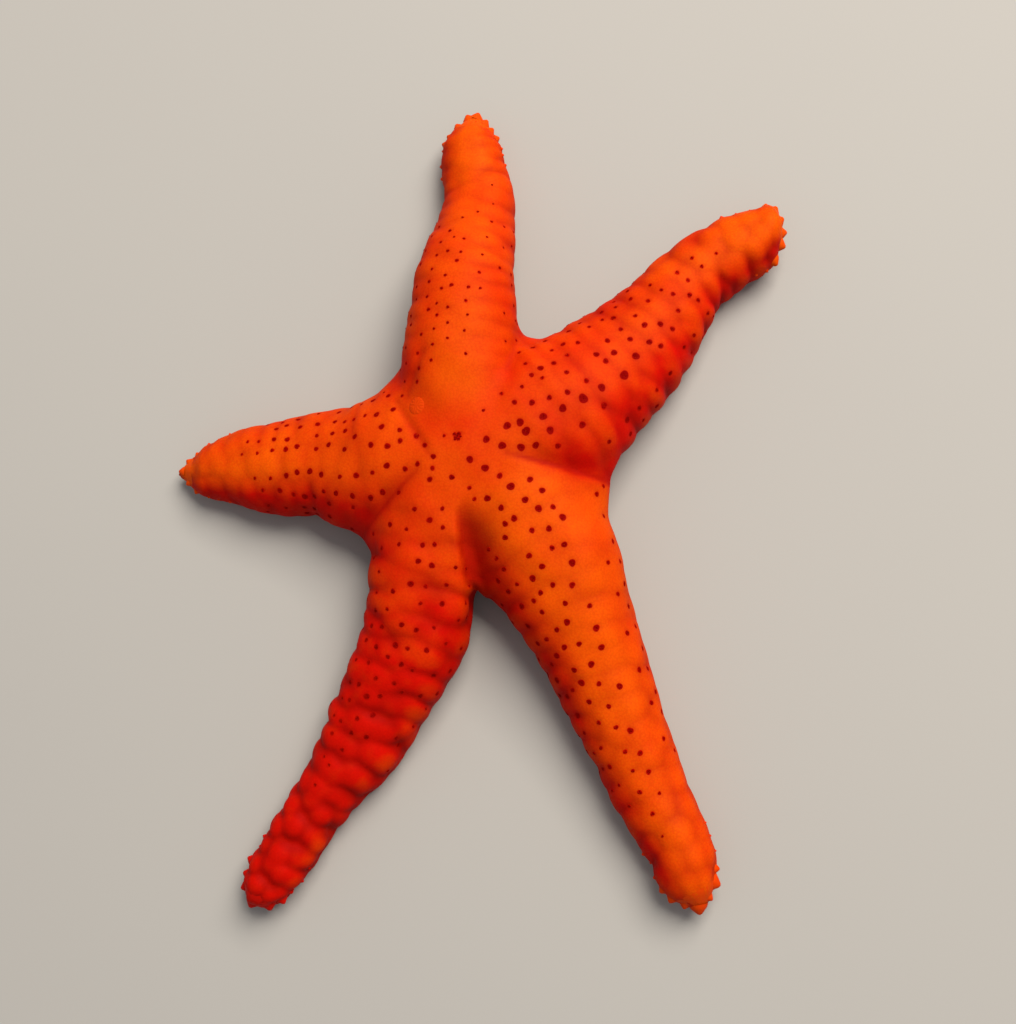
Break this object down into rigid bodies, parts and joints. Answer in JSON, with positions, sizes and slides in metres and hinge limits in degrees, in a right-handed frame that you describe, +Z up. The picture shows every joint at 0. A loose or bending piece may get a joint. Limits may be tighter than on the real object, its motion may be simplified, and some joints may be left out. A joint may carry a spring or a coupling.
{
  "type": "starfish model",
  "caption": "Life-size still model of a smooth red sea star with tapering, gently bent arms and rows of dark pore spots, resting on its flattened soles.",
  "frame": {"origin": "middle of the star's bounding box, on the floor that it rests on", "axes": "+Z up from the floor; +Y towards the north arm, along the longest extent; +X to the right as seen from above"},
  "size_m": [0.1326, 0.1722, 0.0235],
  "materials": {
    "skin": "granulated orange-red skin, satin, slightly translucent",
    "sieve_plate": "calcite sieve plate with fine branching furrows, matte",
    "terminal_plates": "calcite end plates with blunt tubercles under thin skin, satin",
    "pore_areas": "dark red clusters of tiny soft gill pimples",
    "oral_parts": "pale orange soft membrane and tube feet, moist",
    "spines": "blunt calcite spines, satin"
  },
  "bodies": {
    "root": {"disc": "skin", "madreporite": "sieve_plate", "mouth": "oral_parts", "north_arm_base": "skin", "north_arm_middle": "skin", "north_arm_tip": "skin", "north_terminal_plate": "terminal_plates", "northeast_arm_base": "skin", "northeast_arm_middle": "skin", "northeast_arm_tip": "skin", "northeast_terminal_plate": "terminal_plates", "southeast_arm_base": "skin", "southeast_arm_middle": "skin", "southeast_arm_tip": "skin", "southeast_terminal_plate": "terminal_plates", "southwest_arm_base": "skin", "southwest_arm_middle": "skin", "southwest_arm_tip": "skin", "southwest_terminal_plate": "terminal_plates", "west_arm_base": "skin", "west_arm_middle": "skin", "west_arm_tip": "skin", "west_terminal_plate": "terminal_plates"}
  },
  "joints": []
}
